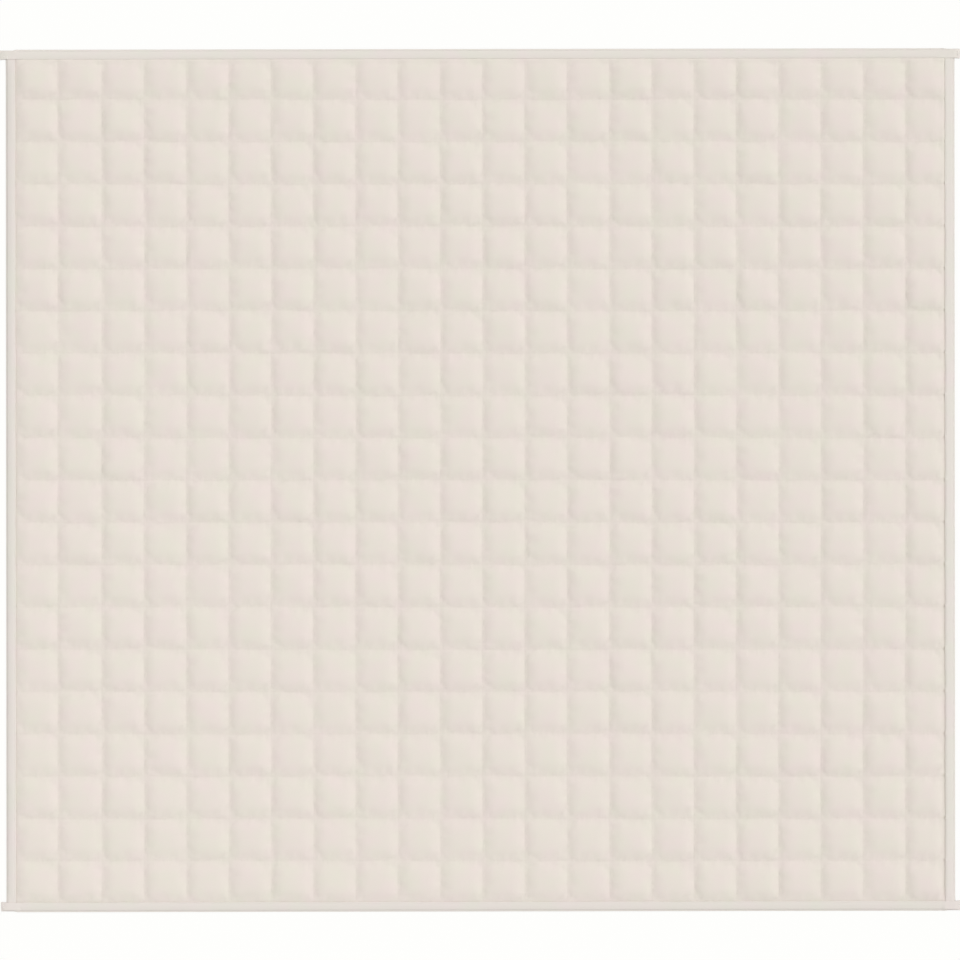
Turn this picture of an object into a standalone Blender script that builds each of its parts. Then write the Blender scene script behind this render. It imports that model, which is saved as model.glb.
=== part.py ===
"""Weighted blanket, lying flat: one filled quilt of square pockets in a folded binding of four strips.

+X runs across the blanket, along its longer side, +Y towards its top edge and +Z up. The centre of
the blanket is over the origin and the undersides of its pockets rest on z = 0. Sizes are in metres.
"""
import math

import bmesh
import bpy

# Overall size, over the bindings
WIDTH = 2.200
LENGTH = 2.000
EAR = 0.0135  # the top and bottom strips run on past both sides by this much

# Quilt
COLUMNS = 22
ROWS = 20
PITCH = 0.098  # from seam to seam: 10 cm pockets, drawn in by their filling
GRID_SHIFT = 0.0068  # the quilting lies this far off centre, towards +X
ROW_SHIFT = 0.0020  # and this far towards +Y
FIRST_SEAM_OFFSET = -0.0042  # the seam nearest the left edge was sewn this far out of step
SEAM_THICKNESS = 0.0024  # both cloths and the crushed filling, sewn flat
CROWN = 0.0152  # height of a full pocket
CROWN_SPREAD = 0.0008  # pockets are filled a little unevenly
SHOULDER = 0.0122  # height of a pocket where its top rounds over
SHOULDER_INSET = 0.24  # of the pocket's side
PAD_INSET = 0.13  # of the pocket's side: the flat of its underside begins here

# Binding: a cloth strip folded over the edge of the quilt and sewn through
STRIP_WIDTH = 0.023
STRIP_CLOTH = 0.001
GAP = 0.0003
LAP_CLEARANCE = 0.0015  # an end strip stays thick this far past a side strip's inner edge
LAP_SLOPE = 0.008  # and thins down to the quilt's edge over this length

# Levels. At a corner an end strip lies over a side strip, which lies over the quilt's edge.
LAYER = STRIP_CLOTH + GAP
SEAM_BOTTOM = 2 * LAYER
SEAM_TOP = SEAM_BOTTOM + SEAM_THICKNESS
SINGLE_BOTTOM = SEAM_BOTTOM - LAYER
SINGLE_TOP = SEAM_TOP + LAYER
DOUBLE_BOTTOM = SINGLE_BOTTOM - LAYER
DOUBLE_TOP = SINGLE_TOP + LAYER

HALF_WIDTH = WIDTH / 2
HALF_LENGTH = LENGTH / 2
LIP_CLEARANCE = 0.0005  # between a strip's inner edge and the first pocket
CREAM = (0.79, 0.72, 0.65, 1.0)
OFF_WHITE = (0.76, 0.74, 0.70, 1.0)


def material(name, colour):
    """A plain woven cloth."""
    cloth = bpy.data.materials.new(name)
    cloth.use_nodes = True
    shader = cloth.node_tree.nodes["Principled BSDF"]
    shader.inputs["Base Color"].default_value = colour
    shader.inputs["Roughness"].default_value = 0.9
    shader.inputs["Metallic"].default_value = 0.0
    return cloth


def add_object(name, mesh_data, cloth):
    """Turn a bmesh into a named, outward-facing object."""
    bmesh.ops.recalc_face_normals(mesh_data, faces=mesh_data.faces)
    mesh = bpy.data.meshes.new(name)
    mesh_data.to_mesh(mesh)
    mesh_data.free()
    mesh.materials.append(cloth)
    piece = bpy.data.objects.new(name, mesh)
    bpy.context.scene.collection.objects.link(piece)
    return piece


def seam_lines(count, half_size, shift=0.0, first_offset=0.0):
    """Seam positions along one direction; the outermost two lie at the inner edges of the binding."""
    edge = half_size - STRIP_WIDTH - LIP_CLEARANCE
    inner = [shift + (line - count / 2) * PITCH for line in range(1, count)]
    inner[0] += first_offset
    return [-edge] + inner + [edge]


def crown_height(column, row):
    """Height of one pocket, varying gently from pocket to pocket."""
    return CROWN + CROWN_SPREAD * math.sin(2.3 * column + 1.1 * row) * math.cos(1.7 * row - 0.6 * column)


def inset_ring(grid, x_range, y_range, inset, height):
    """Four vertices inside a pocket, in order round it."""
    (x0, x1), (y0, y1) = x_range, y_range
    dx = (x1 - x0) * inset
    dy = (y1 - y0) * inset
    corners = [(x0 + dx, y0 + dy), (x1 - dx, y0 + dy), (x1 - dx, y1 - dy), (x0 + dx, y1 - dy)]
    return [grid.verts.new((x, y, height)) for x, y in corners]


def close_margin(grid, line, corner_a, corner_b):
    """Fill the flat margin between a straight row of seam ends and the outer edge of the quilt."""
    middle = len(line) // 2
    for near, far in zip(line[:middle], line[1 : middle + 1]):
        grid.faces.new((corner_a, near, far))
    grid.faces.new((corner_a, line[middle], corner_b))
    for near, far in zip(line[middle:-1], line[middle + 1 :]):
        grid.faces.new((corner_b, near, far))


def quilt(cloth):
    """The filled body: crowned pockets between sewn-down channels, with a thin margin all round."""
    grid = bmesh.new()
    xs = seam_lines(COLUMNS, HALF_WIDTH, GRID_SHIFT, FIRST_SEAM_OFFSET)
    ys = seam_lines(ROWS, HALF_LENGTH, ROW_SHIFT)
    top = [[grid.verts.new((x, y, SEAM_TOP)) for y in ys] for x in xs]
    bottom = [[grid.verts.new((x, y, SEAM_BOTTOM)) for y in ys] for x in xs]
    for i in range(COLUMNS):
        for j in range(ROWS):
            x_range = (xs[i], xs[i + 1])
            y_range = (ys[j], ys[j + 1])
            steps = ((i, j), (i + 1, j), (i + 1, j + 1), (i, j + 1))
            shoulder = inset_ring(grid, x_range, y_range, SHOULDER_INSET, SHOULDER)
            pad = inset_ring(grid, x_range, y_range, PAD_INSET, 0.0)
            centre = grid.verts.new((sum(x_range) / 2, sum(y_range) / 2, crown_height(i, j)))
            for k in range(4):
                (i0, j0), (i1, j1) = steps[k], steps[(k + 1) % 4]
                after = (k + 1) % 4
                grid.faces.new((top[i0][j0], top[i1][j1], shoulder[after], shoulder[k]))
                grid.faces.new((shoulder[k], shoulder[after], centre))
                grid.faces.new((bottom[i0][j0], bottom[i1][j1], pad[after], pad[k]))
            grid.faces.new(pad)
    edge_x = HALF_WIDTH - LAYER
    edge_y = HALF_LENGTH - LAYER
    places = ((-edge_x, -edge_y), (edge_x, -edge_y), (edge_x, edge_y), (-edge_x, edge_y))
    outer = {}
    for level, nodes in ((SEAM_TOP, top), (SEAM_BOTTOM, bottom)):
        corners = [grid.verts.new((x, y, level)) for x, y in places]
        outer[level] = corners
        sides = (
            [column[0] for column in nodes],
            list(nodes[-1]),
            [column[-1] for column in reversed(nodes)],
            list(reversed(nodes[0])),
        )
        for k, line in enumerate(sides):
            close_margin(grid, line, corners[k], corners[(k + 1) % 4])
    for k in range(4):
        after = (k + 1) % 4
        upper, lower = outer[SEAM_TOP], outer[SEAM_BOTTOM]
        grid.faces.new((upper[k], upper[after], lower[after], lower[k]))
    return add_object("quilt", grid, cloth)


def fold_section(low, high):
    """Section of a strip folded over an edge, as (distance in from the outer edge, height) pairs."""
    t = STRIP_CLOTH
    w = STRIP_WIDTH
    outside = [(w, low), (0.0, low), (0.0, high), (w, high)]
    inside = [(w, high - t), (t, high - t), (t, low + t), (w, low + t)]
    return outside + inside


def strip(name, stations, place, cloth):
    """A folded strip through (distance along, section) stations; place turns those into a point."""
    fold = bmesh.new()
    rings = []
    for along, section in stations:
        rings.append([fold.verts.new(place(along, inward, z)) for inward, z in section])
    for near, far in zip(rings, rings[1:]):
        for k in range(len(near)):
            after = (k + 1) % len(near)
            fold.faces.new((near[k], near[after], far[after], far[k]))
    fold.faces.new(rings[0])
    fold.faces.new(rings[-1])
    return add_object(name, fold, cloth)


def side_strip(name, side, cloth):
    """A binding strip along one side, its ends tucked into the folds of the end strips."""
    reach = HALF_LENGTH - LAYER
    section = fold_section(SINGLE_BOTTOM, SINGLE_TOP)

    def place(along, inward, z):
        return (side * (HALF_WIDTH - inward), along, z)

    return strip(name, [(-reach, section), (reach, section)], place, cloth)


def end_strip(name, end, cloth):
    """A binding strip along the top or bottom edge, wrapped over both side strips and on past them."""
    thick = fold_section(DOUBLE_BOTTOM, DOUBLE_TOP)
    thin = fold_section(SINGLE_BOTTOM, SINGLE_TOP)
    lap = HALF_WIDTH - STRIP_WIDTH - LAP_CLEARANCE
    half = [(HALF_WIDTH + EAR, thick), (lap, thick), (lap - LAP_SLOPE, thin)]
    stations = [(-along, section) for along, section in half] + list(reversed(half))

    def place(along, inward, z):
        return (along, end * (HALF_LENGTH - inward), z)

    return strip(name, stations, place, cloth)


for leftover in list(bpy.data.objects):
    bpy.data.objects.remove(leftover, do_unlink=True)

quilt(material("quilt_cloth", CREAM))
side_strip("binding_left", -1, material("binding_left_cloth", OFF_WHITE))
side_strip("binding_right", 1, material("binding_right_cloth", OFF_WHITE))
end_strip("binding_top", 1, material("binding_top_cloth", OFF_WHITE))
end_strip("binding_bottom", -1, material("binding_bottom_cloth", OFF_WHITE))
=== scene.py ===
"""Looks of the weighted blanket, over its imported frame: inflated pockets, sewn channels and folded binding.

The quilt is one closed padded mesh. Its pockets come from a block of pockets that Cloth inflates
between pinned seams, laid out turned and mirrored over the whole quilt. The binding is four cloth
strips, folded over the quilt's edge with their hems turned under. The thread is modelled stitches.
"""
import math
from collections import namedtuple

import bmesh
import bpy
import numpy as np
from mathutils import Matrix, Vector


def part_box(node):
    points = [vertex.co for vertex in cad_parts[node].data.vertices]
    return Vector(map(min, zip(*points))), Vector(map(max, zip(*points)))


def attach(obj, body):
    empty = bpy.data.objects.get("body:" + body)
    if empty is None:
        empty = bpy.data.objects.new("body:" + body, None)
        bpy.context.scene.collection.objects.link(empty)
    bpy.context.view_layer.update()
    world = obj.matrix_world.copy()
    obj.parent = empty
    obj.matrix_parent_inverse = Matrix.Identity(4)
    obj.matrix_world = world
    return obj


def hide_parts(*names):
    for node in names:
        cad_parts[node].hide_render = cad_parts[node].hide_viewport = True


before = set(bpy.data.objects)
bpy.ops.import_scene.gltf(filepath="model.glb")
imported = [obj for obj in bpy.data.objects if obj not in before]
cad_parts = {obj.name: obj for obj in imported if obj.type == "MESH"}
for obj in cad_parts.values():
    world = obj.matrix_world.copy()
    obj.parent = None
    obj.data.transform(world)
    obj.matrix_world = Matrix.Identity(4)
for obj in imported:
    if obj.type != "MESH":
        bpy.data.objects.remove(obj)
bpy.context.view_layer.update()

# Sizes read from the frame, in metres
SIDE_LOW, SIDE_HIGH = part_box("binding_right")
END_LOW, END_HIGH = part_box("binding_top")
HALF_WIDTH = SIDE_HIGH[0]
HALF_LENGTH = END_HIGH[1]
STRIP_WIDTH = SIDE_HIGH[0] - SIDE_LOW[0]
EAR = END_HIGH[0] - HALF_WIDTH
MIDDLE = (SIDE_LOW[2] + SIDE_HIGH[2]) / 2  # height of the quilt's edge and of every seam

# The quilting, as the frame has it
COLUMNS = 22
ROWS = 20
PITCH = 0.098
GRID_SHIFT = 0.0068
ROW_SHIFT = 0.0020
FIRST_SEAM_OFFSET = -0.0042
SEAM_THICKNESS = 0.0024
SEAM_TOP = MIDDLE + SEAM_THICKNESS / 2
SEAM_BOTTOM = MIDDLE - SEAM_THICKNESS / 2
# Bare seam between the strips' inner edges and the first pockets: left and right, bottom and top
SIDE_VALLEYS = (0.0026, 0.0050)
END_VALLEYS = (0.0008, 0.0005)
# How the sewing wanders to the right and upward: waves of (size, rate along x, rate along y, start)
WANDER_X = ((0.0006, 1.3, 5.1, 0.4), (0.0005, -31.0, 23.7, 2.0))
WANDER_Y = ((0.0008, 4.3, -9.9, 1.1), (0.0009, 33.1, 27.0, 0.7))
# The binding was sewn on turned a little anticlockwise against the quilting: its ends and its sides
END_TURN = 0.0015
SIDE_TURN = 0.0007
END_SHIFT = 0.0007  # the top strip lies this far to the left, the bottom one this far to the right

# How finely a pocket is meshed, and how much closer the mesh lines lie near its seams
FACE_STEPS = 13
FACE_GATHER = 0.35
BACK_STEPS = 6
BACK_GATHER = 0.55


# ---------------------------------------------------------------- layout

def seam_lines(count, half_size, valleys, shift, first_offset=0.0):
    """Seam positions along one direction; the outermost two lie a valley inside the binding."""
    first, last = (half_size - STRIP_WIDTH - valley for valley in valleys)
    inner = [shift + (line - count / 2) * PITCH for line in range(1, count)]
    inner[0] += first_offset
    return np.array([-first] + inner + [last])


def pitches_inside(position, half_size):
    """How many pitches inside the binding's inner edge a place is."""
    return (half_size - STRIP_WIDTH - np.abs(position)) / PITCH


def waves(x, y, table):
    """Sum of sine waves over the plane."""
    return sum(size * np.sin(rate_x * x + rate_y * y + start) for size, rate_x, rate_y, start in table)


def drift(x, y):
    """How far the sewing wanders from a perfect grid at a point, fading out towards the binding."""
    from_sides = np.clip(pitches_inside(x, HALF_WIDTH), 0, 1)
    from_ends = np.clip(pitches_inside(y, HALF_LENGTH), 0, 1)
    free = from_sides * from_ends
    return waves(x, y, WANDER_X) * free, waves(x, y, WANDER_Y) * free


def gathered(steps, gather):
    """Fractions 0 to 1 across a pocket, closer together near both seams."""
    t = np.arange(steps + 1) / steps
    return t - gather * np.sin(2 * np.pi * t) / (2 * np.pi)


COLUMN_SEAMS = seam_lines(COLUMNS, HALF_WIDTH, SIDE_VALLEYS, GRID_SHIFT, FIRST_SEAM_OFFSET)
ROW_SEAMS = seam_lines(ROWS, HALF_LENGTH, END_VALLEYS, ROW_SHIFT)


# ---------------------------------------------------------------- meshes

def add(name, data):
    """A new object in the scene."""
    thing = bpy.data.objects.new(name, data)
    bpy.context.scene.collection.objects.link(thing)
    return thing


def mesh_object(name, points, faces, material, smooth=True):
    """A new object from vertex and face arrays."""
    mesh = bpy.data.meshes.new(name)
    mesh.from_pydata(np.asarray(points).tolist(), [], faces)
    mesh.update()
    mesh.polygons.foreach_set("use_smooth", np.full(len(mesh.polygons), smooth))
    if material is not None:
        mesh.materials.append(material)
    return add(name, mesh)


def grid_faces(index, flip=False):
    """Quads between the neighbours in a two-dimensional array of vertex numbers."""
    corners = [index[:-1, :-1], index[1:, :-1], index[1:, 1:], index[:-1, 1:]]
    if flip:
        corners.reverse()
    return np.stack(corners, -1).reshape(-1, 4).tolist()


# ---------------------------------------------------------------- pockets

# The block of pockets that Cloth blows up
SEED = 11
BLOCK_COLUMNS = 6
BLOCK_ROWS = 5
FRAMES = 20
SPARE_CLOTH = 0.022  # the cloth of a pocket is this much longer than the gap between its seams
PRESSURE = 16.0
FIRST_BULGE = 0.003  # the cloth starts with a bulge this high
UNEVENNESS = 0.00012  # and this uneven
SEWN_DOWN = 0.01  # except where the bulge is under this share of its height

# How the pockets of the face and the back differ from the block's
FILL_SPREAD = 0.08
LEAN_SPREAD = 0.0027  # how much higher one side of a pocket is than the other
LEAN_SHAPE = 0.7  # exponent of how a lean dies out towards the seams
CROWN_CAP = 0.0112  # above the seams
FULLNESS = 0.26  # share by which a pocket is fuller against its column seams
FULLNESS_REACH = 0.020
CORNER_DROP = (0.22, 0.42)  # share by which a pocket sinks at its lower and its upper corners
CORNER_REACH = 0.019
SAG = 0.10  # share by which the filling has slid to the lower side of a pocket
ROW_SEAM_LIFT = 0.0012  # the row seams are sewn less tight than the column seams
ROW_SEAM_REACH = 0.0065  # and their valleys are softer, out to about this distance
CROSSING_REACH = 0.012  # but not where they cross the column seams
FLATTENED = 1.7  # underneath, a bulge this many times as deep as the seams are high lies flat on the floor

# Where the quilt meets the binding
EDGE_LIFT = (0.0, 0.0001, 0.0002, 0.0027)  # against the left, right, bottom and top strips
LIFT_GAIN = 0.0036  # against the right-hand strip it grows by this much, ever faster from bottom to top
VALLEY_SLANT = 0.0040  # from its middle up, the bare seam along the right-hand strip narrows by this much
SUNK = 0.0007  # how far the quilt is pressed down beside the right-hand strip
PINCH = 0.0017  # and this much deeper in the puckers where the row seams run under it
MARGIN_RINGS = 3
MARGIN_INSET = 0.0095  # the quilt's edge stops this far inside the binding's fold
MARGIN_FLAT = 0.0185  # and it lies quite flat up to this far in
TOP_TUCK = 0.0012  # how far the cloth is pushed up under the top strip's inner edge
SIDE_TUCK = 0.0019  # and under the right-hand strip's, at its upper end
TUCK_FADE = 0.020  # both tucks fade in over this distance from the corners
SIDE_TUCK_START = 0.6  # the side's after this share of it


def inflated_pockets(rng):
    """A block of pockets blown up by Cloth between pinned seams, as offsets from the flat cloth."""
    n = FACE_STEPS
    fractions = gathered(n, FACE_GATHER)
    cells = np.arange(BLOCK_COLUMNS * n + 1)
    lines = PITCH * (cells // n + fractions[cells % n])
    xs, ys = lines, lines[: BLOCK_ROWS * n + 1]
    x, y = np.meshgrid(xs, ys, indexing="ij")
    inside = np.abs(np.sin(np.pi * x / PITCH) * np.sin(np.pi * y / PITCH))
    uneven = rng.normal(0, UNEVENNESS, x.shape) * (inside > SEWN_DOWN)
    flat = np.stack([x, y, FIRST_BULGE * np.sqrt(inside) + uneven], -1)
    index = np.arange(x.size).reshape(x.shape)
    piece = mesh_object("pocket_block", flat.reshape(-1, 3), grid_faces(index), None)
    sewn = piece.vertex_groups.new(name="sewn")
    on_seam = (np.arange(len(xs)) % n == 0)[:, None] | (np.arange(len(ys)) % n == 0)[None, :]
    sewn.add(index[on_seam].tolist(), 1.0, "REPLACE")
    blow_up(piece)
    evaluated = piece.evaluated_get(bpy.context.evaluated_depsgraph_get())
    points = np.empty(x.size * 3)
    evaluated.data.vertices.foreach_get("co", points)
    offset = points.reshape(flat.shape) - np.stack([x, y, np.zeros_like(x)], -1)
    bpy.data.objects.remove(piece, do_unlink=True)
    pockets = []
    for i in range(BLOCK_COLUMNS):
        for j in range(BLOCK_ROWS):
            pockets.append(offset[i * n : i * n + n + 1, j * n : j * n + n + 1])
    return pockets


def blow_up(piece):
    """Run Cloth with pressure on the block; its seams are the pinned group."""
    cloth = piece.modifiers.new("cloth", "CLOTH")
    settings = cloth.settings
    settings.vertex_group_mass = "sewn"
    settings.quality = 5
    settings.mass = 0.3
    settings.tension_stiffness = 15
    settings.compression_stiffness = 5
    settings.shear_stiffness = 5
    settings.bending_stiffness = 0.4
    settings.shrink_min = -SPARE_CLOTH
    settings.use_pressure = True
    settings.uniform_pressure_force = PRESSURE
    settings.effector_weights.gravity = 0
    cloth.point_cache.frame_start = 1
    cloth.point_cache.frame_end = FRAMES
    for number in range(1, FRAMES + 1):
        bpy.context.scene.frame_set(number)


def turned(pocket, turn):
    """One of the eight ways to lay a pocket: mirrored either way and swapped over its diagonal."""
    laid = pocket.copy()
    if turn & 1:
        laid = laid[::-1] * (-1, 1, 1)
    if turn & 2:
        laid = laid[:, ::-1] * (1, -1, 1)
    if turn & 4:
        laid = laid.transpose(1, 0, 2)[..., [1, 0, 2]]
    return laid


def laid_out(rng, count):
    """For every place in the quilt: which of count pockets, its turn, its filling and its lean both ways."""
    return [
        [
            (
                int(rng.integers(count)),
                int(rng.integers(8)),
                float(rng.normal(1.0, FILL_SPREAD)),
                float(rng.normal(0, LEAN_SPREAD)),
                float(rng.normal(0, LEAN_SPREAD)),
            )
            for _ in range(ROWS)
        ]
        for _ in range(COLUMNS)
    ]


def resampling(have, want):
    """Matrix that takes values at some fractions across a pocket to interpolated values at others."""
    return np.stack([np.interp(want, have, unit) for unit in np.eye(len(have))], 1)


def near(distance, reach):
    """1 at no distance, falling smoothly to 0 past the reach."""
    return np.exp(-((distance / reach) ** 2))


def settled(rise):
    """Height of the underside below a seam: the same bulge, flattened where it meets the floor."""
    t = np.clip(rise / (FLATTENED * SEAM_BOTTOM), 0, 1)
    return SEAM_BOTTOM * t * (2 - t)


def supported(rise, away, i, j):
    """Rises of a pocket's face, kept up along the row seams and pushed up against the binding."""
    at_edge = (i == 0, i == COLUMNS - 1, j == 0, j == ROWS - 1)
    left, right, below, above = (np.where(edge, np.inf, distance) for edge, distance in zip(at_edge, away))
    kept_up = near(np.minimum(below, above), ROW_SEAM_REACH)
    off_crossings = 1 - near(np.minimum(left, right), CROSSING_REACH)
    lifts = np.array(EDGE_LIFT) + (0, LIFT_GAIN * (j / ROWS) ** 2, 0, 0)
    pushed = [
        edge * lift * near(distance, ROW_SEAM_REACH)
        for edge, distance, lift in zip(at_edge, away, lifts)
    ]
    return rise + ROW_SEAM_LIFT * kept_up * off_crossings + np.max(pushed, axis=0)


def pocket_field(pockets, plan, steps, gather, face):
    """Points over the whole quilt up to its outermost seams: (x, y, rise above the seams)."""
    want = gathered(steps, gather)
    spread = resampling(gathered(FACE_STEPS, FACE_GATHER), want)
    u, v = np.meshgrid(want, want, indexing="ij")
    middle = (np.sin(np.pi * u) * np.sin(np.pi * v)) ** LEAN_SHAPE
    field = np.zeros((COLUMNS * steps + 1, ROWS * steps + 1, 3))
    for i in range(COLUMNS):
        for j in range(ROWS):
            which, turn, fill, lean_x, lean_y = plan[i][j]
            pocket = np.einsum("ia,jb,abk->ijk", spread, spread, turned(pockets[which], turn))
            x0, x1 = COLUMN_SEAMS[i : i + 2]
            y0, y1 = ROW_SEAMS[j : j + 2]
            away = (u * (x1 - x0), (1 - u) * (x1 - x0), v * (y1 - y0), (1 - v) * (y1 - y0))
            to_columns, to_rows = np.minimum(*away[:2]), np.minimum(*away[2:])
            corner = np.hypot(to_columns, to_rows)
            rise = pocket[..., 2] * fill + middle * (lean_x * (u - 0.5) + lean_y * (v - 0.5))
            rise = rise * (1 - np.where(v < 0.5, *CORNER_DROP) * near(corner, CORNER_REACH))
            rise = rise * (1 + SAG * (1 - 2 * v))
            rise = rise * (1 + FULLNESS * near(to_columns, FULLNESS_REACH))
            if face:
                rise = supported(rise, away, i, j)
            part = field[i * steps : i * steps + steps + 1, j * steps : j * steps + steps + 1]
            part[..., 0] = x0 + (x1 - x0) * u + pocket[..., 0]
            part[..., 1] = y0 + (y1 - y0) * v + pocket[..., 1]
            part[..., 2] = np.clip(rise, 0, None)
    return field


def slant_last_seam(field):
    """Move the last column seam towards the right-hand strip, more and more from the middle up."""
    before, last = COLUMN_SEAMS[-2:]
    share = np.clip((field[..., 0] - before) / (last - before), 0, 1)
    field[..., 0] += VALLEY_SLANT * share**2 * np.clip(field[..., 1] / HALF_LENGTH, 0, 1)


def with_margin(field, level, upward, top_tuck=0.0, side_tuck=0.0):
    """A field of pockets with the thin margin that runs under the binding, its seams wandering."""
    m = MARGIN_RINGS
    sheet = np.pad(field, ((m, m), (m, m), (0, 0)), mode="edge")
    for k, half in ((0, HALF_WIDTH), (1, HALF_LENGTH)):
        across = sheet.swapaxes(0, k)[..., k]
        rings = [[half - inset] for inset in (STRIP_WIDTH, MARGIN_FLAT, MARGIN_INSET)]
        across[:m] = -np.array(rings[::-1])
        across[-m:] = rings
    rise = np.pad(field[..., 2], m)
    across, along = field[:, -1, 0], field[-1, :, 1]
    to_sides = np.minimum(across - COLUMN_SEAMS[0], COLUMN_SEAMS[-1] - across)
    to_top = ROW_SEAMS[-1] - along
    rise[m:-m, -m] = top_tuck * np.clip(to_sides / TUCK_FADE, 0, 1)
    rise[-m, m:-m] = side_tuck * np.clip(along / HALF_LENGTH, 0, 1)
    rise[-m, m:-m] *= np.clip(to_top / TUCK_FADE - SIDE_TUCK_START, 0, 1)
    x, y = sheet[..., 0].copy(), sheet[..., 1].copy()
    dx, dy = drift(x, y)
    at_side = np.clip(1 - pitches_inside(x, HALF_WIDTH), 0, 1)
    at_end = np.clip(1 - pitches_inside(y, HALF_LENGTH), 0, 1)
    sheet[..., 0] = x + dx - SIDE_TURN * y * at_side
    sheet[..., 1] = y + dy + END_TURN * x * at_end
    sheet[..., 2] = level + upward * rise
    return sheet


def once_round(index):
    """Vertex numbers once round the edge of a grid."""
    return np.concatenate([index[:-1, 0], index[-1, :-1], index[:0:-1, -1], index[0, :0:-1]])


def bridge(upper, lower, points):
    """Triangles between two rings of different counts that run the same way round."""

    def turn_of(ring):
        a = np.arctan2(points[ring, 1], points[ring, 0])
        return np.unwrap(np.append(a, a[0]))

    up, low = turn_of(upper), turn_of(lower)
    i = j = 0
    faces = []
    while i < len(upper) or j < len(lower):
        a, b = int(upper[i % len(upper)]), int(lower[j % len(lower)])
        step_upper = j == len(lower) or (i < len(upper) and up[i + 1] <= low[j + 1])
        if step_upper:
            faces.append((a, b, int(upper[(i + 1) % len(upper)])))
            i += 1
        else:
            faces.append((a, b, int(lower[(j + 1) % len(lower)])))
            j += 1
    return faces


def quilt(material):
    """The filled body: crowned face, flattened underside and the thin margin that joins them.

    Returns the points of the face and of the underside, for the thread.
    """
    rng = np.random.default_rng(SEED)
    pockets = inflated_pockets(rng)
    face_plan, back_plan = laid_out(rng, len(pockets)), laid_out(rng, len(pockets))
    face = pocket_field(pockets, face_plan, FACE_STEPS, FACE_GATHER, face=True)
    back = pocket_field(pockets, back_plan, BACK_STEPS, BACK_GATHER, face=False)
    face[..., 2] = np.minimum(face[..., 2], CROWN_CAP)
    face[-1, 1:-1, 2] -= SUNK
    face[-1, FACE_STEPS:-FACE_STEPS:FACE_STEPS, 2] -= PINCH
    back[..., 2] = settled(back[..., 2])
    slant_last_seam(face)
    slant_last_seam(back)
    top = with_margin(face, SEAM_TOP, 1, TOP_TUCK, SIDE_TUCK)
    bottom = with_margin(back, SEAM_BOTTOM, -1)
    top_index = np.arange(top[..., 0].size).reshape(top.shape[:2])
    bottom_index = np.arange(bottom[..., 0].size).reshape(bottom.shape[:2]) + top_index.size
    points = np.concatenate([top.reshape(-1, 3), bottom.reshape(-1, 3)])
    faces = grid_faces(top_index) + grid_faces(bottom_index, flip=True)
    faces += bridge(once_round(top_index), once_round(bottom_index), points)
    piece = mesh_object("quilt_body", points, faces, material)
    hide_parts("quilt")
    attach(piece, "root")
    return top, bottom


# ---------------------------------------------------------------- thread

STITCH_PITCH = 0.0044
STITCH_LENGTH = 0.0036
STITCH_SHOULDER = 0.3  # share of a stitch's length from its middle to where it dips into the cloth
THREAD_WIDTH = 0.0007
THREAD_HEIGHT = 0.0005
# Shares of that height: the back of a stitch is above the cloth, its sides and its ends are below
BACK_RISE = 0.8
SIDE_SINK = 0.2
END_SINK = 0.5


def stitch_shape():
    """One stitch, half sunk in the cloth: its (along, across, up) points, triangles and quads."""
    half, shoulder = STITCH_LENGTH / 2, STITCH_LENGTH * STITCH_SHOULDER
    w, h = THREAD_WIDTH / 2, THREAD_HEIGHT
    points = [(-half, 0, -h * END_SINK)]
    for along in (-shoulder, shoulder):
        points += [(along, -w, -h * SIDE_SINK), (along, 0, h * BACK_RISE), (along, w, -h * SIDE_SINK)]
    points.append((half, 0, -h * END_SINK))
    triangles, quads = [], []
    for k in range(3):
        after = (k + 1) % 3
        triangles += [(0, 1 + k, 1 + after), (7, 4 + after, 4 + k)]
        quads.append((1 + k, 4 + k, 4 + after, 1 + after))
    return np.array(points), np.array(triangles), np.array(quads)


def stitches(name, runs, material, thickness=1.0):
    """One object for many runs of stitches. A run is (points along the seam, up), up being +1 or -1."""
    shape, triangles, quads = stitch_shape()
    shape = shape * (1, thickness, thickness)
    clouds = []
    for line, up in runs:
        line = np.asarray(line, float)
        travel = np.append(0, np.cumsum(np.linalg.norm(np.diff(line, axis=0), axis=1)))

        def at(distance, line=line, travel=travel):
            return np.stack([np.interp(distance, travel, line[:, k]) for k in range(3)], -1)

        number = max(1, int(travel[-1] / STITCH_PITCH))
        middles = (np.arange(number) + 0.5) * travel[-1] / number
        forward = at(middles + STITCH_LENGTH / 2) - at(middles - STITCH_LENGTH / 2)
        forward /= np.linalg.norm(forward, axis=1)[:, None]
        side = np.stack([-forward[:, 1], forward[:, 0], np.zeros(number)], -1) * up
        cloud = at(middles)[:, None] + shape[:, :1] * forward[:, None] + shape[:, 1:2] * side[:, None]
        cloud[..., 2] += shape[:, 2] * up
        clouds.append(cloud.reshape(-1, 3))
    points = np.concatenate(clouds)
    first = np.arange(0, len(points), len(shape))[:, None, None]
    faces = (first + triangles).reshape(-1, 3).tolist() + (first + quads).reshape(-1, 4).tolist()
    piece = mesh_object(name, points, faces, material)
    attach(piece, "root")


def quilting(top, bottom, material):
    """Thread along every channel, on the face and on the underside."""
    for side, sheet, steps, up in (("face", top, FACE_STEPS, 1), ("back", bottom, BACK_STEPS, -1)):
        sewn = sheet[MARGIN_RINGS:-MARGIN_RINGS, MARGIN_RINGS:-MARGIN_RINGS]
        down = [(sewn[i * steps], up) for i in range(1, COLUMNS)]
        across = [(sewn[:, j * steps], up) for j in range(1, ROWS)]
        stitches(f"thread_{side}_columns", down, material)
        stitches(f"thread_{side}_rows", across, material)


# ---------------------------------------------------------------- binding

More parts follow.
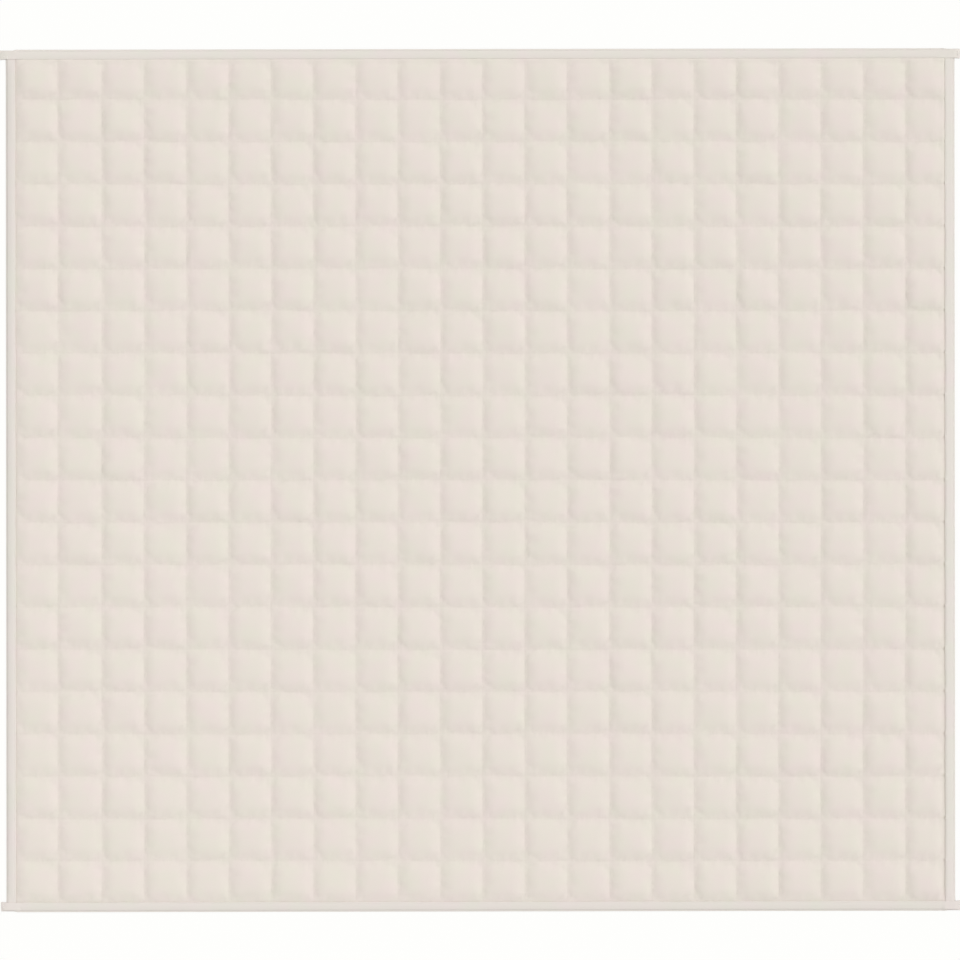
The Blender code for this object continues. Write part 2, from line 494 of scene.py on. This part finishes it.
# The cloth of a strip and how it is folded
PLY = 0.0004
HEM = 0.008
CONTACT = 0.0001  # between cloths that lie on each other
RESTING = PLY / 2 + CONTACT  # from the middle of one ply to the surface that it lies on
HEM_LEVEL = SEAM_THICKNESS / 2 + RESTING  # the turned-under hem lies on the quilt's edge
STITCH_LINE = 0.0030  # in from the strip's inner edge
BELOW = 0.35  # share of a strip's crown and fall on its underside

# Where a strip's section has its points
HEM_BEND = 2.5  # the hem is flat up to this many radii of the turn from the inner edge
TURN_ANGLES = (-60, -20, 20, 60)  # round that turn, in degrees
FACE_SHARES = (0.06, 0.12, 0.19, 0.27, 0.36, 0.46, 0.56, 0.67, 0.78, 0.89)  # of the way to the flank
FLANK_SHARES = (0.08, 0.22, 0.36, 0.5, 0.64, 0.78, 0.92)  # of the way on to the rim
RIM_END = 1.25  # how many plies in from the fold the rim ends
HEM_POINTS = 3 + len(TURN_ANGLES)

# Where a strip has its sections
SECTION_SPACING = 0.0075
SEAM_STATIONS = (-0.006, -0.003, 0.0, 0.003, 0.006)  # a side strip has more about each row seam
CORNER_SPAN = 0.035  # and an end strip from this far inside the side's edge
CORNER_STATIONS = 16
TIP_STATIONS = (0.8, 0.6, 0.42, 0.26, 0.13, 0.04)  # and at these shares of an ear's tip

# Unevenness along a strip
RIPPLES = ((0.5, 23.0, 1.0), (0.3, 61.0, 2.1), (0.2, 140.0, 3.3))  # (size, rate, share of the phase)
CROWN_SPREAD = 0.2  # share by which its crown varies
WIDTH_LEAD = 1.0  # in phase, of its width over its crown
LIP_GAIN = 0.0016  # how much further up the right-hand strip's inner edge is pushed at its upper end
LIP_SPREAD = 0.0003  # and how much further in it lies along its lower half
LIP_PUCKER = 0.0022  # how far the right-hand strip's inner edge is pushed up at each row seam
LIP_BULGE = 0.0004  # and inward
LIP_PUCKER_REACH = 0.004

# Corners, where the end strips lie over the side strips' ends
SIDE_FADE = 0.010  # over this distance the side strips lose their crown and unevenness
TUCK = 0.0040  # how far the side strips' ends stay back from the end strips' folds
CORNER_DRAW = {-1: 0.0022, 1: 0.0014}  # how far the end strips' folds are drawn in, left and right
DRAWN = (-0.004, 0.006)  # more and more between these distances out from the side strips' inner edges
CRISPNESS = 0.4  # share by which their flanks are narrower there
LAP_REACH = 0.0095  # an end strip begins to rise this far inside a side strip's inner edge
LAP_SLOPE = 0.008  # and has risen after this

# Ears. Pairs are distances out from the side strips' folds, between which a change comes in
EAR_SHORT = 0.0006  # an ear ends this much before the frame's
EAR_FALL = (-0.0020, 0.0110)
EAR_HALF = 0.0017  # half height that it thins to
MOUTH = (-0.0030, 0.0035)  # its hems come together
SLIP = (0.001, EAR - 0.003)
EAR_SLIP = 0.0012  # its inner edge was folded in this much further than the rest
PRESSED = (EAR - 0.0060, EAR - 0.0015)  # its plies are pressed together
TIP_FLANK = 0.0135  # from its fold up to this far in
TIP_SLOPE = 0.002  # the last of which slopes up over the hem
TIP_LENGTH = 0.0030  # its end slopes down over this length
TIP_FLATNESS = 0.70  # share of its height that it loses there
TIP_SHAPE = 1.5  # exponent of that slope
CORNER_RADIUS = 0.0020  # seen from above

# Bar tacks at the root of an ear
TACK_THICKNESS = 3.0  # of their thread against the other thread
TACK_LENGTH = 0.0038
TACK_SINK = 0.0010  # on the underside, where the corners rest
# (side, end, how far out from the side's edge, places of the stitches out from the strip's inner edge)
TACKS = (
    (-1, 1, -0.0042, (0.0020, 0.0066)),
    (-1, 1, 0.0028, (0.0020, 0.0066)),
    (-1, -1, 0.0056, (0.0070, 0.0110)),
    (1, 1, 0.0070, (0.0065, 0.0105, 0.0145)),
    (1, -1, 0.0085, (0.0070, 0.0110)),
)

# Each strip of the binding:
#   direction  which side or end
#   phase      of its unevenness
#   lip        how far its inner edge is pushed up by the pockets
#   crown      height of its face over its inner edge
#   peak       where that is, as a share of the way to the flank
#   fall       from there to the flank
#   flank      how far in the steep part down to the fold begins
#   rim        width of the fold itself, pressed flat
#   drop       height of the fold below the middle of the quilt's edge
#   pucker     share by which its inner edge follows the row seams' puckers
#   wander     how far its inner edge wanders from a straight line
Strip = namedtuple("Strip", "direction phase lip crown peak fall flank rim drop pucker wander")
STRIPS = {
    "left": Strip(-1, 0.7, 0.0004, 0.0017, 0.37, 0.0022, 0.0059, 0.0016, 0.0021, 0.25, 0.0006),
    "right": Strip(1, 2.9, 0.0005, 0.0015, 0.25, 0.0012, 0.0058, 0.0022, 0.0026, 1.0, 0.0005),
    "top": Strip(1, 4.2, 0.0016, 0.0015, 0.44, 0.0012, 0.0056, 0.0024, 0.0027, 0.0, 0.0),
    "bottom": Strip(-1, 5.8, 0.0, 0.0005, 0.35, 0.0016, 0.0060, 0.0019, 0.0019, 0.0, 0.0004),
}


def half_section(strip, width, top, hem_level, free, closing, lift):
    """Centreline of the upper half of a folded strip, as (inward, height from the middle) points.

    It starts at the raw edge of the hem, turns at the inner edge, rises to the crown and goes down the
    flank to the fold. top is the height of the inner edge, free how much of the crown there is, closing
    the height of the fold, and lift how far the inner edge is pushed up.
    """
    outer = top - PLY / 2
    r = (outer - hem_level) / 2
    line = [(inward, hem_level) for inward in (width - HEM, width - HEM / 2, width - HEM_BEND * r)]
    for angle in np.radians(TURN_ANGLES):
        line.append((width - r + r * math.cos(angle), outer - r + r * math.sin(angle)))
    for share in FACE_SHARES:
        up = math.sin(math.pi / 2 * min(1.0, share / strip.peak))
        down = 1 - math.cos(math.pi / 2 * max(0.0, (share - strip.peak) / (1 - strip.peak)))
        height = outer + free * (strip.crown * up - strip.fall * down)
        line.append((width - share * (width - strip.flank), height))
    shoulder = outer + free * (strip.crown - strip.fall)
    for share in FLANK_SHARES:
        height = shoulder + (closing + RESTING - shoulder) * (1 - math.cos(math.pi * share)) / 2
        line.append((strip.flank + share * (strip.rim - strip.flank), height))
    line += [(inward, closing + RESTING) for inward in (strip.rim / 2, RIM_END * PLY)]
    line.append((PLY / 2, closing))
    return [(u, z + lift * max(0.0, (u - width + HEM) / HEM) ** 2) for u, z in line]


def strip_section(strip, width, top, hem_level, free, lift):
    """Centreline of a whole folded strip, from the upper hem's raw edge round to the lower one's."""
    closing = -strip.drop * free
    upper = half_section(strip, width, top, hem_level, free, closing, lift)
    lower = half_section(strip, width, top, hem_level, free * BELOW, -closing, 0.0)
    return upper + [(u, -z) for u, z in reversed(lower[:-1])]


def sewn_at(section):
    """Heights of a strip's upper and lower faces where they are sewn through."""
    heights = []
    for half, up in ((section, 1), (section[::-1], -1)):
        face = np.array(half[HEM_POINTS : len(section) // 2 - 2])[::-1]
        heights.append(float(np.interp(STRIP_WIDTH - STITCH_LINE, face[:, 0], face[:, 1])) + up * PLY / 2)
    return heights


def seam_runs(sewn, place):
    """Stitching on both faces of a strip, from (along, upper height, lower height) at its stations."""
    inward = STRIP_WIDTH - STITCH_LINE
    return [([place(a, inward, heights[k]) for a, *heights in sewn], up) for k, up in ((0, 1), (1, -1))]


def thickened(line):
    """A closed outline, one ply thick, round an open centreline."""
    line = np.array(line)
    direction = np.gradient(line, axis=0)
    direction /= np.linalg.norm(direction, axis=1)[:, None]
    normal = np.stack([-direction[:, 1], direction[:, 0]], -1)
    return np.concatenate([line + normal * PLY / 2, (line - normal * PLY / 2)[::-1]])


def folded_strip(name, node, along, outlines, place, material):
    """A strip through its outlines at each station along it."""
    rings = np.array([[place(a, u, z) for u, z in outline] for a, outline in zip(along, outlines)])
    number, size = rings.shape[:2]
    index = np.arange(number * size).reshape(number, size)
    closed = np.concatenate([index, index[:, :1]], axis=1)
    faces = grid_faces(closed)
    for ring in (index[0].tolist(), index[-1].tolist()):
        for k in range(size // 2 - 1):
            faces.append((ring[k], ring[k + 1], ring[size - 2 - k], ring[size - 1 - k]))
    piece = mesh_object(name, rings.reshape(-1, 3), faces, material)
    fix_normals(piece)
    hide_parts(node)
    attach(piece, "root")


def fix_normals(piece):
    """Turn all faces of a closed piece outward."""
    data = bmesh.new()
    data.from_mesh(piece.data)
    bmesh.ops.recalc_face_normals(data, faces=data.faces)
    data.to_mesh(piece.data)
    data.free()


def ripple(a, phase):
    """A soft unevenness along a strip, from -1 to 1."""
    return sum(size * np.sin(rate * a + share * phase) for size, rate, share in RIPPLES)


def stations(reach, extra):
    """Places along a strip at an even spacing, with extra ones where its shape changes quickly."""
    even = np.linspace(-reach, reach, int(2 * reach / SECTION_SPACING))
    return np.unique(np.round(np.concatenate([even, extra]), 4))


def turned_point(x, y, z):
    """Where a point of the binding lies once it is turned against the quilting."""
    return (x - SIDE_TURN * y, y + END_TURN * x, z)


def part_way(value, bounds):
    """How far a value is between two bounds, from 0 to 1."""
    return min(1.0, max(0.0, (value - bounds[0]) / (bounds[1] - bounds[0])))


def ear_half(out):
    """Half height of an end strip where it lies over a side strip and runs on as an ear."""
    thick = (END_HIGH[2] - END_LOW[2]) / 2
    return thick + (EAR_HALF - thick) * part_way(out, EAR_FALL)


def side_strip(name, material):
    """The strip along one side, its inner edge puckered at the row seams. Returns its stitching."""
    strip = STRIPS[name]
    side = strip.direction
    thin = (SIDE_HIGH[2] - SIDE_LOW[2]) / 2
    reach = SIDE_HIGH[1] - CORNER_DRAW[side]
    crossings = ROW_SEAMS[1:-1] - END_TURN * side * HALF_WIDTH
    near_seams = (crossings[:, None] + SEAM_STATIONS).ravel()
    along = stations(reach - TUCK, near_seams)
    outlines, sewn = [], []
    for a in along:
        free = part_way(reach - STRIP_WIDTH - abs(a), (0, SIDE_FADE))
        bump = strip.pucker * float(near(a - crossings, LIP_PUCKER_REACH).sum())
        spread = LIP_SPREAD * (side > 0) * part_way(-a, (-reach / 4, reach / 4))
        wander = strip.wander * ripple(a, strip.phase + WIDTH_LEAD)
        width = STRIP_WIDTH + free * (wander + LIP_BULGE * bump + spread)
        crown = free * (1 + CROWN_SPREAD * ripple(a, strip.phase))
        gain = LIP_GAIN * (side > 0) * (1 - bump) * part_way(a, (0, reach))
        lift = free * (strip.lip + LIP_PUCKER * bump + gain)
        section = strip_section(strip, width, thin, HEM_LEVEL, crown, lift)
        outlines.append(thickened(section))
        if abs(a) < reach - STRIP_WIDTH:
            sewn.append((a, *sewn_at(section)))

    def place(a, u, z):
        return turned_point(side * (HALF_WIDTH - u), a, MIDDLE + z)

    folded_strip(f"strip_{name}", f"binding_{name}", along, outlines, place, material)
    return seam_runs(sewn, place)


def with_tip(outline, width, to_end):
    """An ear's outline, rounded off seen from above and sloping down towards its end."""
    rounding = 1 - math.sqrt(1 - (1 - part_way(to_end, (0, CORNER_RADIUS))) ** 2)
    slope = (1 - part_way(to_end, (0, TIP_LENGTH))) ** TIP_SHAPE
    outline[:, 0] += (width / 2 - outline[:, 0]) * 2 * CORNER_RADIUS / width * rounding
    outline[:, 1] *= 1 - TIP_FLATNESS * slope
    return outline


def end_strip(name, material):
    """The strip along one end, lapped over the side strips and run on as ears. Returns its stitching."""
    strip = STRIPS[name]
    end = strip.direction
    thin = (SIDE_HIGH[2] - SIDE_LOW[2]) / 2
    reach = HALF_WIDTH + EAR - EAR_SHORT
    corner = np.linspace(HALF_WIDTH - CORNER_SPAN, reach - TIP_LENGTH, CORNER_STATIONS)
    tip = reach - TIP_LENGTH * np.array(TIP_STATIONS)
    along = stations(reach, np.concatenate([corner, -corner, tip, -tip]))
    inside = HALF_WIDTH - STRIP_WIDTH  # the inner edges of the side strips
    lap_start = inside - LAP_REACH
    outlines, sewn = [], []
    for a in along:
        out = abs(a) - HALF_WIDTH
        lap = part_way(abs(a) - lap_start, (0, LAP_SLOPE))
        drawn = part_way(abs(a) - inside, DRAWN)
        pressed = part_way(out, PRESSED)
        free = 1 - lap
        width = STRIP_WIDTH + free * strip.wander * ripple(a, strip.phase + WIDTH_LEAD)
        crown = free * (1 + CROWN_SPREAD * ripple(a, strip.phase))
        top = thin + lap * (ear_half(out) - thin)
        hem_level = HEM_LEVEL + lap * (thin + RESTING - HEM_LEVEL)
        hem_level += (RESTING - hem_level) * part_way(out, MOUTH)
        crisp = 1 - CRISPNESS * drawn
        flank = strip.flank * crisp * (1 - pressed) + TIP_FLANK * pressed
        rim = strip.rim * crisp * (1 - pressed) + (TIP_FLANK - TIP_SLOPE) * pressed
        here = strip._replace(flank=flank, rim=rim)
        section = strip_section(here, width, top, hem_level, crown, free * strip.lip)
        if abs(a) < lap_start:
            sewn.append((a, *sewn_at(section)))
        outline = thickened(section)
        inward = outline[:, 0] / width
        draw = CORNER_DRAW[1 if a > 0 else -1] * drawn
        outline[:, 0] += draw * (1 - inward) + EAR_SLIP * part_way(out, SLIP) * inward
        outlines.append(with_tip(outline, width, reach - abs(a)))

    def place(a, u, z):
        return turned_point(a - end * END_SHIFT, end * (HALF_LENGTH - u), MIDDLE + z)

    folded_strip(f"strip_{name}", f"binding_{name}", along, outlines, place, material)
    return seam_runs(sewn, place)


def bar_tacks(material):
    """Thick light stitches at the root of each ear."""
    runs = []
    for side, end, out, insets in TACKS:
        x = side * (HALF_WIDTH + out)
        for inset in insets:
            y = end * (HALF_LENGTH - STRIP_WIDTH + inset)
            for up in (1, -1):
                z = MIDDLE + up * ear_half(out) + (up < 0) * TACK_SINK
                line = [turned_point(x, y + way * TACK_LENGTH / 2, z) for way in (-1, 1)]
                runs.append((line, up))
    stitches("thread_bar_tacks", runs, material, TACK_THICKNESS)


def bindings(material, thread):
    """Side strips, the end strips that lap over them, all their stitching and the bar tacks."""
    runs = side_strip("left", material) + side_strip("right", material)
    runs += end_strip("top", material) + end_strip("bottom", material)
    stitches("thread_binding", runs, material)
    bar_tacks(thread)


# ---------------------------------------------------------------- materials

# Colours: each cloth drifts between a pinker and a yellower tone
CREAM = ((0.796, 0.710, 0.668), (0.770, 0.733, 0.647))
OFF_WHITE = ((0.778, 0.709, 0.678), (0.750, 0.728, 0.657))
THREAD = ((0.936, 0.896, 0.866), (0.926, 0.904, 0.854))
MOTTLE_SCALE = 16.0
MOTTLE_DETAIL = 2.0
MOTTLE_RANGE = (0.275, 0.725)  # of the noise, from one tone to the other
CLOTH_LOOK = {
    "Roughness": 0.88,
    "Specular IOR Level": 0.25,
    "Sheen Weight": 0.12,
    "Sheen Roughness": 0.45,
}
YARN_STRETCH = 0.25  # yarns and gathers are drawn out along one direction
WEAVE_SCALE = 900.0
WEAVE_DEPTH = 0.00004
GATHER_SCALE = 100.0
GATHER_DEPTH = 0.0009
GATHER_REACH = 0.020  # from a seam
GATHER_FADING = 2.0  # exponent
FINE_DETAIL = 1.0  # of the noise of both


def shaded(name, look):
    """A new material and its shader, set to a look."""
    material = bpy.data.materials.new(name)
    material.use_nodes = True
    shader = material.node_tree.nodes["Principled BSDF"]
    for socket, value in look.items():
        shader.inputs[socket].default_value = value
    return material, shader


def cloth_material(name, pinker, yellower, gathered_up=False):
    """Fine plain weave, its colour drifting softly between two tones, and gathered along the seams."""
    material, shader = shaded(name, CLOTH_LOOK)
    nodes, links = material.node_tree.nodes, material.node_tree.links
    place = nodes.new("ShaderNodeTexCoord")

    def noise(scale, detail, stretch=(1, 1, 1)):
        mapping = nodes.new("ShaderNodeMapping")
        mapping.inputs["Scale"].default_value = stretch
        texture = nodes.new("ShaderNodeTexNoise")
        texture.inputs["Scale"].default_value = scale
        texture.inputs["Detail"].default_value = detail
        links.new(place.outputs["Object"], mapping.inputs["Vector"])
        links.new(mapping.outputs["Vector"], texture.inputs["Vector"])
        return texture.outputs["Fac"]

    def calculate(operation, *values):
        node = nodes.new("ShaderNodeMath")
        node.operation = operation
        for socket, value in zip(node.inputs, values):
            if isinstance(value, (int, float)):
                socket.default_value = value
            else:
                links.new(value, socket)
        return node.outputs[0]

    def bumped(height, depth, normal=None):
        bump = nodes.new("ShaderNodeBump")
        bump.inputs["Distance"].default_value = depth
        links.new(height, bump.inputs["Height"])
        if normal is not None:
            links.new(normal, bump.inputs["Normal"])
        return bump.outputs["Normal"]

    def gathers(position, shift, stretch):
        """Fine ridges that run away from each seam and die out."""
        distance = calculate("PINGPONG", calculate("SUBTRACT", position, shift), PITCH / 2)
        share = calculate("SUBTRACT", 1.0, calculate("DIVIDE", distance, GATHER_REACH))
        fading = calculate("POWER", calculate("MAXIMUM", share, 0.0), GATHER_FADING)
        return calculate("MULTIPLY", noise(GATHER_SCALE, FINE_DETAIL, stretch), fading)

    spread = nodes.new("ShaderNodeMapRange")
    spread.inputs["From Min"].default_value, spread.inputs["From Max"].default_value = MOTTLE_RANGE
    links.new(noise(MOTTLE_SCALE, MOTTLE_DETAIL), spread.inputs["Value"])
    mix = nodes.new("ShaderNodeMix")
    mix.data_type = "RGBA"
    factor, first, second = mix.inputs[0], mix.inputs[6], mix.inputs[7]  # those of the colour mode
    first.default_value = (*pinker, 1)
    second.default_value = (*yellower, 1)
    links.new(spread.outputs["Result"], factor)
    links.new(mix.outputs[2], shader.inputs["Base Color"])
    along_x, along_y = (YARN_STRETCH, 1, 1), (1, YARN_STRETCH, 1)
    warp = noise(WEAVE_SCALE, FINE_DETAIL, along_y)
    weft = noise(WEAVE_SCALE, FINE_DETAIL, along_x)
    normal = bumped(calculate("ADD", warp, weft), WEAVE_DEPTH)
    if gathered_up:
        split = nodes.new("ShaderNodeSeparateXYZ")
        links.new(place.outputs["Object"], split.inputs[0])
        at_columns = gathers(split.outputs["X"], GRID_SHIFT, along_x)
        at_rows = gathers(split.outputs["Y"], ROW_SHIFT, along_y)
        normal = bumped(calculate("ADD", at_columns, at_rows), GATHER_DEPTH, normal)
    links.new(normal, shader.inputs["Normal"])
    return material


# ---------------------------------------------------------------- stage, light and camera

FLOOR_REACH = 160.0
FLOOR_LEVEL = -0.0003
FLOOR_LOOK = {
    "Base Color": (0.03, 0.03, 0.03, 1),
    "Roughness": 0.9,
    "Specular IOR Level": 0.0,
    "Emission Color": (1, 1, 0.983, 1),
    "Emission Strength": 0.963,
}


def floor():
    """A plain white floor a hair under the blanket, lit mostly from within to keep shadows faint."""
    material, _ = shaded("floor_white", FLOOR_LOOK)
    turns = ((-1, -1), (1, -1), (1, 1), (-1, 1))
    corners = [(x * FLOOR_REACH, y * FLOOR_REACH, FLOOR_LEVEL) for x, y in turns]
    piece = mesh_object("floor", corners, [(0, 1, 2, 3)], material, smooth=False)
    piece.visible_diffuse = False


SKY = (  # (height of the direction, from -1 straight down to 1 straight up, and its brightness)
    (-0.03, 0.10),
    (-0.005, 1.00),
    (0.14, 1.00),
    (0.30, 0.80),
)
SKY_TINT = (1, 0.995, 0.99)
KEY_ENERGY = 0.98
KEY_ANGLE = math.radians(16)  # how wide the sun looks
KEY_AZIMUTH = math.radians(36)  # from +X towards +Y
KEY_ELEVATION = math.radians(38)
FILL_ENERGY = 3.0
FILL_SIZE = 2.0
FILL_PLACE = (-2.2, -1.8, 2.2)


def room():
    """An even pale world, darker below."""
    world = bpy.data.worlds.new("room")
    world.use_nodes = True
    nodes, links = world.node_tree.nodes, world.node_tree.links
    direction = nodes.new("ShaderNodeTexCoord")
    split = nodes.new("ShaderNodeSeparateXYZ")
    ramp = nodes.new("ShaderNodeValToRGB")
    position = nodes.new("ShaderNodeMath")  # heights from -1 to 1 become 0 to 1 along the ramp
    position.operation = "MULTIPLY_ADD"
    position.inputs[1].default_value = 0.5
    position.inputs[2].default_value = 0.5
    for _ in SKY[2:]:
        ramp.color_ramp.elements.new(0.5)
    for stop, (height, brightness) in zip(ramp.color_ramp.elements, SKY):
        stop.position = height * 0.5 + 0.5
        stop.color = (*(brightness * share for share in SKY_TINT), 1)
    links.new(direction.outputs["Generated"], split.inputs[0])
    links.new(split.outputs["Z"], position.inputs[0])
    links.new(position.outputs[0], ramp.inputs["Fac"])
    links.new(ramp.outputs["Color"], nodes["Background"].inputs["Color"])
    return world


def light():
    """The room, a soft key from the upper right and a faint fill from the lower left."""
    bpy.context.scene.world = room()
    sun = bpy.data.lights.new("key", "SUN")
    sun.energy = KEY_ENERGY
    sun.angle = KEY_ANGLE
    add("key", sun).rotation_euler = (math.pi / 2 - KEY_ELEVATION, 0, KEY_AZIMUTH + math.pi / 2)
    panel = bpy.data.lights.new("fill", "AREA")
    panel.energy = FILL_ENERGY
    panel.size = FILL_SIZE
    fill = add("fill", panel)
    fill.location = FILL_PLACE
    fill.rotation_euler = Vector(FILL_PLACE).to_track_quat("Z", "Y").to_euler()
    fill.visible_camera = False
    bpy.context.scene.view_settings.view_transform = "Standard"
    bpy.context.scene.view_settings.look = "None"


LENS = 100.0  # in millimetres, as the sensor's width is
SENSOR_WIDTH = 36.0
SEEN_WIDTH = 2.2267  # what the picture's width takes in at z = 0
CLIP_END = 60.0
CAMERA_PLACE = (-0.00105, 0.00045)
CAMERA_ROLL = math.radians(-0.01)


def camera():
    """Straight down from high above, head edge up."""
    data = bpy.data.cameras.new("camera")
    data.sensor_width = SENSOR_WIDTH
    data.lens = LENS
    data.clip_end = CLIP_END
    eye = add("camera", data)
    eye.location = (*CAMERA_PLACE, SEEN_WIDTH * data.lens / data.sensor_width)
    eye.rotation_euler = (0, 0, CAMERA_ROLL)
    bpy.context.scene.camera = eye


camera()
light()
floor()
quilt_cloth = cloth_material("quilt_cloth", *CREAM, gathered_up=True)
binding_cloth = cloth_material("binding_cloth", *OFF_WHITE)
thread_cotton = cloth_material("thread_cotton", *THREAD)
face, back = quilt(quilt_cloth)
quilting(face, back, quilt_cloth)
bindings(binding_cloth, thread_cotton)
